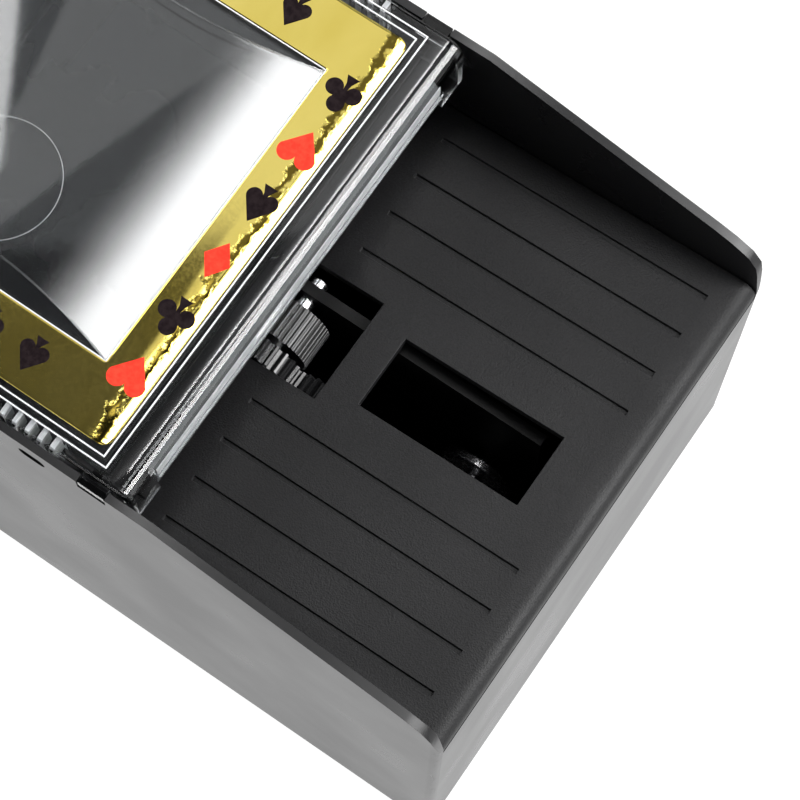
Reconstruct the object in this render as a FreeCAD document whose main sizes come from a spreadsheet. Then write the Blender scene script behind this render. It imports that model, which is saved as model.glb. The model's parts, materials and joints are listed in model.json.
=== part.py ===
import FreeCAD, Part
import math
import os
import re
import Sketcher

# Automatic two-deck card shuffler. +X runs along the length, +Y points to the front,
# where the drawer opens, and +Z is up. The origin is the bottom centre, on the table.

V = FreeCAD.Vector

DRIVING = {
    # moulded housing
    "half_length": 102.5, "half_base": 49.0, "half_top": 47.4, "foot_rise": 1.2,
    "rim_height": 95.0, "rim_bend": 48.5, "rim_fall": 83.8, "rim_corner": 96.0, "rim_end": 101.6,
    "rim_end_height": 77.0, "sill_height": 67.3, "end_wall": 2.2, "half_inside": 46.0,
    "corner_radius": 1.6, "chamber_half": 34.5, "chamber_wall": 1.6, "chamber_top": 65.4,
    "floor_top": 3.6, "floor_bottom": 1.2,
    # card trays
    "tray_crease": 39.7, "tray_low": 67.8, "tray_high": 72.4, "tray_lip": 99.5, "lip_radius": 2.9,
    "tray_thickness": 2.0, "tray_gap": 0.12, "tray_drop": 66.3,
    "groove_pitch": 8.0, "groove_first": 16.0, "groove_start": 43.7, "groove_finish": 96.4,
    "groove_width": 0.9, "groove_depth": 0.6,
    "feed_hole_end": 52.4, "feed_hole_half": 10.0, "wheel_hole_start": 59.0,
    "wheel_hole_end": 90.1, "wheel_hole_half": 6.85,
    # clear cover
    "cover_half_x": 44.0, "cover_half_y": 45.5, "cover_top": 96.0, "cover_wall": 1.5,
    "skirt_drop": 8.5, "side_skirt_drop": 12.0, "end_edge_radius": 3.0, "edge_radius": 0.8, "leg_drop": 12.0, "leg_width": 6.5,
    "tab_start": 35.5, "tab_end": 40.4, "tab_reach": 47.3, "tab_bottom": 92.2,
    "ridge_x": 37.1, "ridge_y": 42.2, "ridge_step": 1.3, "ridge_width": 0.5, "ridge_rise": 0.4,
    "grip_start": 18.5, "grip_end": 30.5, "grip_inner": 43.0,
    # printed foil frame and crowned window
    "label_half_x": 36.6, "label_half_y": 40.8, "label_thickness": 0.12,
    "window_half_x": 27.8, "window_half_y": 29.3, "crown_rise": 2.0, "crown_inset": 4.3,
    # drawer
    "drawer_half": 34.0, "drawer_wall": 1.4, "drawer_bottom": 22.5, "drawer_side_top": 50.0,
    "drawer_front_bottom": 21.9, "drawer_front_top": 58.1, "drawer_front_face": 47.7,
    "drawer_back": 45.4, "drawer_gap": 0.4, "notch_radius": 12.0, "rail_top": 22.3,
    # battery bay
    "cell_radius": 7.15, "cell_length": 50.0, "cell_pitch": 14.6, "bay_half_x": 30.2,
    "bay_half_y": 31.4, "bay_top": 19.0, "bay_wall": 1.4, "door_thickness": 1.6, "door_gap": 0.3,
    # drive train
    "gear_module": 0.6, "pinion_teeth": 12, "drive_teeth": 50, "idler_teeth": 24,
    "feed_teeth": 20, "drive_x": 77.0, "drive_z": 35.0, "feed_x": 40.3, "feed_z": 62.2,
    "plate_end": 87.0, "web_reach": 8.8, "shaft_radius": 1.5, "motor_shaft_radius": 1.0, "running_gap": 0.05,
    "roller_radius": 6.5, "roller_start": -4.8, "roller_end": 2.2,
    "inner_plate_start": 5.2, "inner_plate_end": 7.2, "outer_plate_start": -13.0,
    "outer_plate_end": -11.0, "gear_face_start": -9.7, "gear_face_end": -5.9,
    "drive_face_start": -9.4, "drive_face_end": -7.2, "pinion_start": -10.1, "pinion_end": -6.5,
    "disc_start": 1.9, "disc_width": 2.0, "disc_radius": 7.0, "shaft_start": -18.4, "shaft_end": 9.0,
    "pulley_start": -17.8, "pulley_width": 3.6, "drive_pulley_radius": 4.0,
    "idler_pulley_radius": 6.0, "belt_width": 2.0, "belt_thickness": 1.0, "belt_gap": 0.06,
    "motor_radius": 10.0, "motor_flat": 7.5, "motor_length": 25.0,
    # wiring
    "wire_radius": 0.7, "wire_height": 11.0,
    # push button and its switch
    "button_x": 68.0, "button_z": 42.0, "button_radius": 6.5, "button_face": 48.95,
    "button_gap": 0.25, "button_travel": 2.0,
    # feet and fasteners
    "foot_x": 84.0, "foot_y": 34.0, "foot_radius": 5.0, "foot_height": 2.0,
    "screw_x": 92.0, "screw_y": 38.0, "screw_radius": 1.45, "boss_radius": 3.6,
}
# The gear centres follow from the teeth: each pair meshes on its pitch circles.
MODULE = DRIVING["gear_module"]
MOTOR_REACH = (DRIVING["pinion_teeth"] + DRIVING["drive_teeth"]) * MODULE / 2
IDLER_REACH = (DRIVING["idler_teeth"] + DRIVING["feed_teeth"]) * MODULE / 2
MOTOR_ANGLE = 225.0
IDLER_ANGLE = -18.0
DRIVING["motor_x"] = DRIVING["drive_x"] + MOTOR_REACH * math.cos(math.radians(MOTOR_ANGLE))
DRIVING["motor_z"] = DRIVING["drive_z"] + MOTOR_REACH * math.sin(math.radians(MOTOR_ANGLE))
DRIVING["idler_x"] = DRIVING["feed_x"] + IDLER_REACH * math.cos(math.radians(IDLER_ANGLE))
DRIVING["idler_z"] = DRIVING["feed_z"] + IDLER_REACH * math.sin(math.radians(IDLER_ANGLE))

doc = FreeCAD.newDocument("card_shuffler")
sheet = doc.addObject("Spreadsheet::Sheet", "Dims")
for row, (alias, number) in enumerate(DRIVING.items(), start=1):
    sheet.set("A%d" % row, alias.replace("_", " "))
    sheet.set("B%d" % row, "%.6g" % number)
    sheet.setAlias("B%d" % row, alias)
doc.recompute()

made = {}


def bind(text):
    """Writes an expression on the sheet's aliases from plain words."""
    def link(match):
        word = match.group(0)
        return "Dims." + word if word in DRIVING else word
    return re.sub(r"[a-z][a-z_]*", link, str(text))


def val(text):
    """The value of an expression, for shapes made with Part's own functions."""
    return float(sheet.evalExpression(bind(text)))


def place(shape, x=0, y=0, z=0):
    for axis, text in (("x", x), ("y", y), ("z", z)):
        shape.setExpression("Placement.Base." + axis, bind(text))
    return shape


def block(x0, x1, y0, y1, z0, z1):
    """A box between two corners, each side bound to the sheet."""
    box = doc.addObject("Part::Box", "block")
    box.setExpression("Length", bind("(%s) - (%s)" % (x1, x0)))
    box.setExpression("Width", bind("(%s) - (%s)" % (y1, y0)))
    box.setExpression("Height", bind("(%s) - (%s)" % (z1, z0)))
    return place(box, x0, y0, z0)


TURNS = {
    "x": FreeCAD.Rotation(V(0, 1, 0), 90),
    "y": FreeCAD.Rotation(V(1, 0, 0), -90),
    "z": FreeCAD.Rotation(),
}


def rod(axis, x, y, z, radius, length):
    """A cylinder that starts at a point and runs along +X, +Y or +Z."""
    cylinder = doc.addObject("Part::Cylinder", "rod")
    cylinder.Placement = FreeCAD.Placement(V(), TURNS[axis])
    cylinder.setExpression("Radius", bind(radius))
    cylinder.setExpression("Height", bind(length))
    return place(cylinder, x, y, z)


def cone(x, y, z, low_radius, high_radius, height):
    """A cone that stands along +Z."""
    shape = doc.addObject("Part::Cone", "cone")
    shape.setExpression("Radius1", bind(low_radius))
    shape.setExpression("Radius2", bind(high_radius))
    shape.setExpression("Height", bind(height))
    return place(shape, x, y, z)


def profile(points, width, middle=0, role="XZ_Plane"):
    """A straight-sided outline, padded evenly to both sides of its plane."""
    body = doc.addObject("PartDesign::Body", "profile")
    sketch = body.newObject("Sketcher::SketchObject", "outline")
    plane = [f for f in body.Origin.OriginFeatures if f.Role == role][0]
    sketch.AttachmentSupport = [(plane, "")]
    sketch.MapMode = "FlatFace"
    corners = [V(val(a), val(b), 0) for a, b in points]
    count = len(corners)
    for i in range(count):
        sketch.addGeometry(Part.LineSegment(corners[i], corners[(i + 1) % count]))
    for i in range(count):
        sketch.addConstraint(Sketcher.Constraint("Coincident", i, 2, (i + 1) % count, 1))
    for i, (a, b) in enumerate(points):
        for kind, text, number in (("DistanceX", a, corners[i].x), ("DistanceY", b, corners[i].y)):
            index = sketch.addConstraint(Sketcher.Constraint(kind, -1, 1, i, 1, number))
            sketch.setExpression("Constraints[%d]" % index, bind(text))
    pad = body.newObject("PartDesign::Pad", "pad")
    pad.Profile = sketch
    pad.Midplane = True
    pad.setExpression("Length", bind(width))
    axis = {"XZ_Plane": "y", "YZ_Plane": "x"}[role]
    body.setExpression("Placement.Base." + axis, bind(middle))
    return body


def join(shapes):
    if len(shapes) == 1:
        return shapes[0]
    fused = doc.addObject("Part::MultiFuse", "joined")
    fused.Shapes = shapes
    return fused


def cut(base, tools):
    result = doc.addObject("Part::Cut", "cut")
    result.Base = base
    result.Tool = join(tools)
    return result


def overlap(first, second):
    result = doc.addObject("Part::Common", "shared")
    result.Base = first
    result.Tool = second
    return result


def group(shapes):
    """Identical loose pieces that share one node."""
    compound = doc.addObject("Part::Compound", "group")
    compound.Links = shapes
    return compound


def solid(shape):
    """A feature for a shape that no primitive or sketch makes."""
    feature = doc.addObject("Part::Feature", "shape")
    feature.Shape = shape
    return feature


def finish(shape, label):
    shape.Label = label
    made[label] = shape
    return shape


def turned(shape):
    """A loose copy, turned half round the vertical axis."""
    compound = doc.addObject("Part::Compound", "copy")
    compound.Links = [shape]
    compound.Placement = FreeCAD.Placement(V(), FreeCAD.Rotation(V(0, 0, 1), 180))
    return compound


def half_turn(shape, label):
    """The same piece again at the other end."""
    return finish(turned(shape), label)


def both_ends(shape, name):
    finish(shape, name + "_right")
    half_turn(shape, name + "_left")


def corners_of(x, y):
    return [("%s%s" % (sx, x), "%s%s" % (sy, y)) for sx in ("", "-") for sy in ("", "-")]


# ---------------------------------------------------------------- housing
def drafted_block():
    """The outer block, whose long sides lean in towards the top."""
    low, high = val("foot_rise"), val("rim_height")
    length = val("half_length")
    rings = []
    for z, half in ((low, val("half_base")), (high, val("half_top"))):
        outline = [V(-length, -half, z), V(length, -half, z), V(length, half, z), V(-length, half, z)]
        rings.append(Part.makePolygon(outline + outline[:1]))
    shape = Part.makeLoft(rings, True, True)
    uprights = [e for e in shape.Edges if abs(e.Vertexes[0].Z - e.Vertexes[1].Z) > 1]
    return solid(shape.makeFillet(val("corner_radius"), uprights))


def side_silhouette():
    """Level rim in the middle, falling to a rounded shoulder and the end sill."""
    half = [
        ("rim_bend", "rim_height"), ("rim_corner - 4", "rim_fall + 0.93"), ("rim_corner", "rim_fall - 0.3"),
        ("rim_corner + 3.2", "rim_fall - 1.9"), ("rim_end - 0.6", "rim_fall - 4.2"),
        ("rim_end", "rim_end_height"), ("half_length", "sill_height + 3.2"), ("half_length", "foot_rise"),
    ]
    mirrored = [("-(%s)" % x, z) for x, z in reversed(half)]
    return profile(half + mirrored, "2 * half_base + 2")


def upper_housing():
    shell = overlap(drafted_block(), side_silhouette())
    inside = block("-half_length + end_wall", "half_length - end_wall", "-half_inside",
                   "half_inside", "foot_rise - 1", "rim_height + 1")
    over_sill = block("-half_length - 1", "half_length + 1", "-half_inside", "half_inside",
                      "sill_height", "rim_height + 1")
    hollow = cut(shell, [inside, over_sill])
    parts = [hollow]
    for sign in ("", "-"):
        inner = sign + "chamber_half"
        outer = "%s(chamber_half + chamber_wall)" % sign
        low, high = (inner, outer) if sign == "" else (outer, inner)
        parts.append(block(low, high, "-half_inside", "half_inside", "floor_top", "chamber_top"))
    for x, y in corners_of("screw_x", "screw_y"):
        parts.append(rod("z", x, y, "floor_top", "boss_radius", "sill_height - 3 - floor_top"))
        wall = sorted([val(y), math.copysign(val("half_inside + 0.5"), val(y))])
        parts.append(block(x + " - 0.9", x + " + 0.9", wall[0], wall[1], "floor_top", "sill_height - 3"))
    openings = [
        block("-chamber_half", "chamber_half", "half_inside - 1", "half_base + 1",
              "drawer_front_bottom - drawer_gap", "drawer_front_top + drawer_gap"),
        rod("y", "button_x", "half_inside - 1", "button_z", "button_radius + button_gap", 5),
    ]
    for sign in (1, -1):
        notch_x = (sign * 36.3 - 2.6, sign * 36.3 + 2.6)
        openings.append(block(notch_x[0], notch_x[1], "-feed_hole_half - 0.3", "feed_hole_half + 0.3",
                              "feed_z - roller_radius - 1.4", "chamber_top + 1"))
        for side in ("-", ""):
            tab = sorted([sign * (val("tab_start") - 0.2), sign * (val("tab_end") + 0.2)])
            wall = sorted([val(side + "(half_inside - 1)"), val(side + "(half_base + 1)")])
            openings.append(block(tab[0], tab[1], wall[0], wall[1], "tab_bottom", "rim_height + 1"))
            openings.append(latch_window(sign, side))
    for x, y in corners_of("screw_x", "screw_y"):
        openings.append(rod("z", x, y, "floor_top - 1", "screw_radius", 11))
    finish(cut(join(parts), openings + wire_passages()), "upper_housing")


def wire_passages():
    """Gaps low in the chamber walls and rails, where the wires go through."""
    middle = val("-outer_plate_start + motor_length + 3.8")
    low, high = val("wire_height") - 1.4, val("wire_height") + 3.8
    gaps = []
    for sign, sides in ((1, (-1, 1)), (-1, (1,))):
        for side in sides:
            x = sorted([sign * 31.5, sign * 36.6])
            y = side * middle
            gaps.append(block(x[0], x[1], y - 1.5, y + 1.5, low, high))
    return gaps


def latch_window(sign, side):
    """An oval hole in the long wall, where a cover latch shows."""
    middle = sign * 26.2
    wall = sorted([val(side + "(half_inside - 1)"), val(side + "(half_base + 1)")])
    ends = [rod("y", middle + shift, wall[0], 90.2, 1.3, wall[1] - wall[0]) for shift in (-1.2, 1.2)]
    bridge = block(middle - 1.2, middle + 1.2, wall[0], wall[1], 88.9, 91.5)
    return join(ends + [bridge])


# ---------------------------------------------------------------- card tray
def card_tray():
    """The sloping floor that a deck lies on, with its lip over the end wall."""
    slope = "(tray_high - tray_low) / (tray_lip - tray_crease)"
    lip = []
    for turn in (22.5, 45, 67.5, 90):
        across = math.sin(math.radians(turn))
        down = 1 - math.cos(math.radians(turn))
        lip.append(("tray_lip + %.4f * lip_radius" % across, "tray_high - %.4f * lip_radius" % down))
    lip.append(("tray_lip + lip_radius", "sill_height"))
    top = [("chamber_half + 1.9", "tray_drop"), ("tray_crease", "tray_low"), ("tray_lip", "tray_high")]
    under = [
        ("half_length - end_wall - 0.3", "sill_height"),
        ("half_length - end_wall - 0.3", "tray_high - tray_thickness - 0.2"),
        ("tray_lip - 1", "tray_high - tray_thickness"),
        ("tray_crease", "tray_low - tray_thickness"),
        ("chamber_half + 1.9", "chamber_top + 0.05"),
    ]
    plate = profile(top + lip + under, "2 * half_inside - 2 * tray_gap")
    tools = [
        block("tray_crease", "feed_hole_end", "-feed_hole_half", "feed_hole_half", "sill_height - 5",
              "tray_high + 5"),
        block("chamber_half", "tray_crease + 1", "-feed_hole_half", "feed_hole_half",
              "sill_height - 5", "tray_high + 5"),
        block("wheel_hole_start", "wheel_hole_end", "-wheel_hole_half", "wheel_hole_half",
              "sill_height - 5", "tray_high + 5"),
    ]
    tilt = math.degrees(math.atan(val(slope)))
    for side in (-1, 1):
        for index in range(4):
            middle = side * (val("groove_first") + index * val("groove_pitch"))
            groove = block(0, "groove_finish - groove_start", 0, "groove_width", "-groove_depth", 2)
            start = V(val("groove_start"), middle - val("groove_width") / 2,
                      val("tray_low + (groove_start - tray_crease) * %s" % slope))
            holder = group([groove])
            holder.Placement = FreeCAD.Placement(start, FreeCAD.Rotation(V(0, 1, 0), -tilt))
            tools.append(holder)
    both_ends(cut(plate, tools), "card_tray")


# ---------------------------------------------------------------- card gate
def card_gate():
    """The upright bar over the feed roller that lets one card pass, with its rubber pad."""
    bar = block("chamber_half", "chamber_half + 2", "-half_inside + tray_gap", "half_inside - tray_gap",
                70.9, 84)
    slot = block("chamber_half - 1", "chamber_half + 3", -6, 3.4, 70, 74)
    both_ends(cut(bar, [slot]), "card_gate")
    pad = block("chamber_half + 0.2", "chamber_half + 1.8", -6, 3.4, 69.9, 74)
    both_ends(pad, "gate_pad")


# ---------------------------------------------------------------- clear cover
def crown(lift):
    """The window's low barrel crown, whose ends slope up from the frame."""
    rise = val("crown_rise")
    half_x = val("window_half_x")
    half_y = val("window_half_y")
    radius = (half_x ** 2 + rise ** 2) / (2 * rise)
    base = val("cover_top") + lift
    barrel = Part.makeCylinder(radius, 2 * half_y, V(0, -half_y, base + rise - radius), V(0, 1, 0))
    keep = Part.makeBox(2 * half_x, 2 * half_y, rise + 0.01, V(-half_x, -half_y, base - 0.01))
    shape = barrel.common(keep)
    lean = val("crown_inset") / rise
    for side in (-1, 1):
        foot = V(-half_x - 1, side * half_y, base)
        wedge = [foot, foot + V(0, -side * lean * 3, 3), foot + V(0, side * 2, 3), foot + V(0, side * 2, -0.1),
                 foot + V(0, side * 0.2, -0.1)]
        face = Part.Face(Part.makePolygon(wedge + wedge[:1]))
        shape = shape.cut(face.extrude(V(2 * half_x + 2, 0, 0)))
    return shape


def cover():
    lid = block("-cover_half_x", "cover_half_x", "-cover_half_y", "cover_half_y",
                "cover_top - side_skirt_drop", "cover_top")
    inside = block("-cover_half_x + cover_wall", "cover_half_x - cover_wall", "-cover_half_y + cover_wall",
                   "cover_half_y - cover_wall", "cover_top - side_skirt_drop - 1", "cover_top - cover_wall")
    under_ends = block("-cover_half_x - 1", "cover_half_x + 1", "-cover_half_y + leg_width",
                       "cover_half_y - leg_width", "cover_top - side_skirt_drop - 1",
                       "cover_top - skirt_drop")
    rounded = doc.addObject("Part::Fillet", "rounded")
    rounded.Base = lid
    doc.recompute()
    edges = []
    for index, edge in enumerate(lid.Shape.Edges, start=1):
        middle = edge.CenterOfMass
        on_top = abs(middle.z - val("cover_top")) < 0.01
        upright = abs(edge.Vertexes[0].Z - edge.Vertexes[1].Z) > 1
        if on_top and abs(abs(middle.x) - val("cover_half_x")) < 0.01:
            edges.append((index, val("end_edge_radius"), val("end_edge_radius")))
        elif on_top or upright:
            edges.append((index, val("edge_radius"), val("edge_radius")))
    rounded.Edges = edges
    shell = cut(rounded, [inside, under_ends])
    extras = [shell, solid(crown(0)), cover_ridge(0), cover_ridge(1)]
    for sign in (1, -1):
        extras.append(rod("z", sign * 38.5, 0, "cover_top - 0.5", 1.6, "ridge_rise + 0.5"))
        bead = sorted([sign * (val("cover_half_x") - 0.2), sign * (val("cover_half_x") + 0.35)])
        extras.append(block(bead[0], bead[1], "-cover_half_y + leg_width", "cover_half_y - leg_width",
                            "cover_top - 6.2", "cover_top - 5.6"))
        for side in (1, -1):
            tab = sorted([sign * val("tab_start"), sign * val("tab_end")])
            reach = sorted([side * (val("cover_half_y") - 0.7), side * val("tab_reach")])
            extras.append(block(tab[0], tab[1], reach[0], reach[1], "tab_bottom", "cover_top - 1.0"))
            extras += latch_grip(sign, side)
    window = cut(join(extras), [solid(crown(-val("cover_wall") + 0.1))])
    finish(window, "clear_cover")


def cover_ridge(step):
    """One of two thin raised lines that frame the label."""
    x = "(ridge_x + %d * ridge_step)" % step
    y = "(ridge_y + %d * ridge_step)" % step
    outer = block("-%s" % x, x, "-%s" % y, y, "cover_top - 0.3", "cover_top + ridge_rise")
    inner = block("-%s + ridge_width" % x, "%s - ridge_width" % x, "-%s + ridge_width" % y,
                  "%s - ridge_width" % y, "cover_top - 1", "cover_top + 1")
    return cut(outer, [inner])


def latch_grip(sign, side):
    """A ribbed spring latch on the long side of the cover."""
    span = sorted([sign * val("grip_start"), sign * val("grip_end")])
    plate = sorted([side * val("grip_inner"), side * val("cover_half_y - 0.2")])
    parts = [block(span[0], span[1], plate[0], plate[1], "cover_top - 9", "cover_top - 0.4")]
    for index in range(5):
        x = span[0] + 1.2 + index * 2.4
        parts.append(rod("z", x, side * val("cover_half_y"), 87.5, 0.42, 7.6))
    bump = sorted([sign * 24.9, sign * 27.5])
    face = sorted([side * val("cover_half_y - 0.2"), side * val("half_inside - 0.06")])
    parts.append(block(bump[0], bump[1], face[0], face[1], 89.4, 91.0))
    return parts


def label():
    outer = block("-label_half_x", "label_half_x", "-label_half_y", "label_half_y", "cover_top",
                  "cover_top + label_thickness")
    gap = block("-window_half_x - 0.1", "window_half_x + 0.1", "-window_half_y - 0.1",
                "window_half_y + 0.1", "cover_top - 1", "cover_top + 1")
    rounded = doc.addObject("Part::Fillet", "rounded")
    rounded.Base = outer
    doc.recompute()
    rounded.Edges = [(i, 2.0, 2.0) for i, e in enumerate(outer.Shape.Edges, start=1)
                     if abs(e.Vertexes[0].Z - e.Vertexes[1].Z) > 0.05]
    finish(cut(rounded, [gap]), "foil_label")


# ---------------------------------------------------------------- drawer
def drawer():
    """The tray that catches the shuffled cards and slides out at the front."""
    outer = block("-drawer_half", "drawer_half", "-drawer_back", "drawer_front_face - 2",
                  "drawer_bottom", "drawer_side_top")
    inner = block("-drawer_half + drawer_wall", "drawer_half - drawer_wall", "-drawer_back + drawer_wall",
                  "drawer_front_face - 2.4", "drawer_bottom + drawer_wall", "drawer_side_top + 1")
    front = block("-drawer_half", "drawer_half", "drawer_front_face - 2.4", "drawer_front_face",
                  "drawer_front_bottom", "drawer_front_top")
    notch = rod("y", 0, "drawer_front_face - 5", "drawer_front_top + 2", "notch_radius", 10)
    lead = block(-20, 20, "-drawer_back - 1", "-drawer_back + drawer_wall + 1", 38, "drawer_side_top + 1")
    finish(cut(join([cut(outer, [inner]), front]), [notch, lead]), "card_drawer")


# ---------------------------------------------------------------- base
def base_plate():
    """The floor of the housing, with the battery bay and the drawer's rails."""
    plate = block("-half_length + end_wall + 0.15", "half_length - end_wall - 0.15",
                  "-half_inside + 0.15", "half_inside - 0.15", "floor_bottom", "floor_top")
    bay = block("-bay_half_x - bay_wall", "bay_half_x + bay_wall", "-bay_half_y - bay_wall",
                "bay_half_y + bay_wall", "floor_top - 0.5", "bay_top + bay_wall")
    rails = []
    for sign in (1, -1):
        span = sorted([sign * 32.0, sign * 34.0])
        rails.append(block(span[0], span[1], -45, 45, "floor_top - 0.5", "rail_top"))
    feet = [rod("z", x, y, "floor_bottom - 1", "foot_radius + 0.2", "foot_height - 0.2")
            for x, y in corners_of("foot_x", "foot_y")]
    bay_space = block("-bay_half_x", "bay_half_x", "-bay_half_y", "bay_half_y", "floor_bottom - 1", "bay_top")
    holes = [rod("z", x, y, "floor_bottom - 1", "screw_radius", 5) for x, y in corners_of("screw_x", "screw_y")]
    sinks = [rod("z", x, y, "floor_bottom - 1", 3.0, 2.5) for x, y in corners_of("screw_x", "screw_y")]
    tools = [bay_space] + feet + holes + sinks + wire_passages()
    finish(cut(join([plate, bay] + rails), tools), "base_plate")


def rubber_feet():
    finish(group([rod("z", x, y, 0, "foot_radius", "foot_height") for x, y in corners_of("foot_x", "foot_y")]),
           "rubber_feet")


def battery_door():
    """The lift-off cover under the cells, with a thumb latch at one edge."""
    plate = block("-bay_half_x + door_gap", "bay_half_x - door_gap", "-bay_half_y + door_gap",
                  "bay_half_y - door_gap", "floor_bottom", "floor_bottom + door_thickness")
    latch = block(-6, 6, "bay_half_y - door_gap - 4.2", "bay_half_y - door_gap - 3.4",
                  "floor_bottom - 1", "floor_bottom + 0.8")
    sides = [block(x - 0.4, x + 0.4, "bay_half_y - door_gap - 4.2", "bay_half_y + 1",
                   "floor_bottom - 1", "floor_bottom + 4") for x in (-6, 6)]
    finish(cut(plate, [latch] + sides), "battery_door")


def battery_cells():
    for index in range(4):
        x = "cell_pitch * %.1f" % (index - 1.5)
        turn = 1 if index % 2 == 0 else -1
        height = "floor_bottom + door_thickness + 0.1 + cell_radius"
        start = "-cell_length / 2 + 0.5 - %d * 0.7" % turn
        can = rod("y", x, start, height, "cell_radius", "cell_length - 2.4")
        tip = "%s + cell_length - 2.4" % start if turn == 1 else "%s - 1" % start
        finish(join([can, rod("y", x, tip, height, 2.6, 1.0)]), "aa_cell_%d" % (index + 1))


def battery_contacts():
    """Pressed strips at both ends of the bay."""
    strips = []
    for side in (-1, 1):
        for index in range(4):
            x = (index - 1.5) * val("cell_pitch")
            face = sorted([side * val("bay_half_y - 0.5"), side * val("bay_half_y - 0.1")])
            strips.append(block(x - 5, x + 5, face[0], face[1], 5.5, 16))
    finish(group(strips), "battery_contacts")


def coil(radius, wire, pitch, turns):
    """A helix along +Z from the origin, of eight-sided wire."""
    path = Part.makeHelix(pitch, pitch * turns, radius)
    corners = [math.radians(45 * i) for i in range(8)]
    outline = [V(radius + wire * math.cos(a), 0, wire * math.sin(a)) for a in corners]
    return Part.Wire(path.Edges).makePipeShell([Part.makePolygon(outline + outline[:1])], True, True)


def battery_springs():
    springs = []
    for index in range(4):
        turn = -1 if index % 2 == 0 else 1
        x = (index - 1.5) * val("cell_pitch")
        spring = solid(coil(3.2, 0.35, 1.25, 3))
        height = val("floor_bottom + door_thickness + 0.1 + cell_radius")
        start = turn * (val("bay_half_y") - 0.95)
        flip = FreeCAD.Rotation(V(1, 0, 0), 90 if turn == 1 else -90)
        spring.Placement = FreeCAD.Placement(V(x, start, height), flip)
        springs.append(spring)
    finish(group(springs), "battery_springs")


# ---------------------------------------------------------------- drive train
def involute(angle):
    return math.tan(angle) - angle


def gear_shape(teeth, width, bore, tooth_at):
    """A spur gear in the XZ plane, extruded along +Y, with one tooth at a given angle."""
    pressure = math.radians(20)
    pitch_radius = MODULE * teeth / 2
    base_radius = pitch_radius * math.cos(pressure)
    tip_radius = pitch_radius + 0.8 * MODULE
    root_radius = pitch_radius - 1.15 * MODULE
    side_play = 0.055 / pitch_radius
    flank = []
    for radius in (root_radius, max(base_radius, root_radius + 0.05), pitch_radius, tip_radius):
        turn = math.acos(min(1.0, base_radius / radius))
        half = math.pi / (2 * teeth) + involute(pressure) - involute(turn) - side_play
        flank.append((radius, half))
    points = []
    for tooth in range(teeth):
        middle = math.radians(tooth_at) + 2 * math.pi * tooth / teeth
        rising = [(r, middle - half) for r, half in flank]
        falling = [(r, middle + half) for r, half in reversed(flank)]
        points += [V(r * math.cos(a), 0, r * math.sin(a)) for r, a in rising + falling]
    face = Part.Face(Part.makePolygon(points + points[:1]))
    blank = face.extrude(V(0, width, 0))
    return blank.cut(Part.makeCylinder(bore, width + 2, V(0, -1, 0), V(0, 1, 0)))


def gear(teeth, x, z, start, end, bore, tooth_at):
    width = val(end) - val(start)
    feature = solid(gear_shape(int(val(teeth)), width, val(bore), tooth_at))
    feature.Placement = FreeCAD.Placement(V(val(x), val(start), val(z)), FreeCAD.Rotation())
    return feature


def tooth_gap(teeth, facing):
    """The tooth angle that turns a gap, not a tooth, to the given direction."""
    return facing + 180.0 / val(teeth)


def ring(x, z, start, outer, bore, length):
    """A sleeve on a shaft along Y."""
    return cut(rod("y", x, start, z, outer, length), [rod("y", x, "(%s) - 1" % start, z, bore, "(%s) + 2" % length)])


def drive_gear():
    wheel = gear("drive_teeth", "drive_x", "drive_z", "drive_face_start", "drive_face_end", "shaft_radius",
                 MOTOR_ANGLE)
    hub = ring("drive_x", "drive_z", "drive_face_start - 1", 3.2, "shaft_radius", 6)
    web_holes = []
    for turn in range(0, 360, 60):
        x = "drive_x + web_reach * %.5f" % math.cos(math.radians(turn))
        z = "drive_z + web_reach * %.5f" % math.sin(math.radians(turn))
        web_holes.append(rod("y", x, "drive_face_start - 2", z, 2.6, 8))
    both_ends(cut(join([wheel, hub]), web_holes), "drive_gear")
    both_ends(through_shaft("drive_x", "drive_z"), "drive_shaft")


def through_shaft(x, z):
    """A shaft that runs in both plates and carries a pulley outside the outer one."""
    return rod("y", x, "shaft_start", z, "shaft_radius", "shaft_end - shaft_start")


def spacer_disc():
    """The plain disc that keeps the drive shaft in its place between the plates."""
    rim = ring("drive_x", "drive_z", "disc_start", "disc_radius", "shaft_radius", "disc_width")
    collar = ring("drive_x", "drive_z", "disc_start + disc_width", 2.6, "shaft_radius", 1.1)
    both_ends(join([rim, collar]), "spacer_disc")


def motor():
    face = "outer_plate_start"
    can_round = rod("y", "motor_x", face + " - motor_length", "motor_z", "motor_radius", "motor_length")
    can_flat = block("motor_x - motor_radius", "motor_x + motor_radius", face + " - motor_length", face,
                     "motor_z - motor_flat", "motor_z + motor_flat")
    shaft_hole = rod("y", "motor_x", face + " - 9", "motor_z", "motor_shaft_radius + running_gap", 12)
    both_ends(cut(overlap(can_round, can_flat), [shaft_hole]), "motor_can")
    cap_round = rod("y", "motor_x", face + " - motor_length - 2", "motor_z", "motor_radius - 0.6", 2)
    cap_flat = block("motor_x - motor_radius", "motor_x + motor_radius", face + " - motor_length - 2",
                     face + " - motor_length", "motor_z - motor_flat + 0.5", "motor_z + motor_flat - 0.5")
    both_ends(overlap(cap_round, cap_flat), "motor_end_cap")
    both_ends(rod("y", "motor_x", face + " - 8.8", "motor_z", "motor_shaft_radius",
                  "pinion_end - (%s - 8.8)" % face), "motor_shaft")
    facing = MOTOR_ANGLE - 180
    pinion = gear("pinion_teeth", "motor_x", "motor_z", "pinion_start", "pinion_end", "motor_shaft_radius",
                  tooth_gap("pinion_teeth", facing))
    both_ends(pinion, "motor_pinion")


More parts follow.
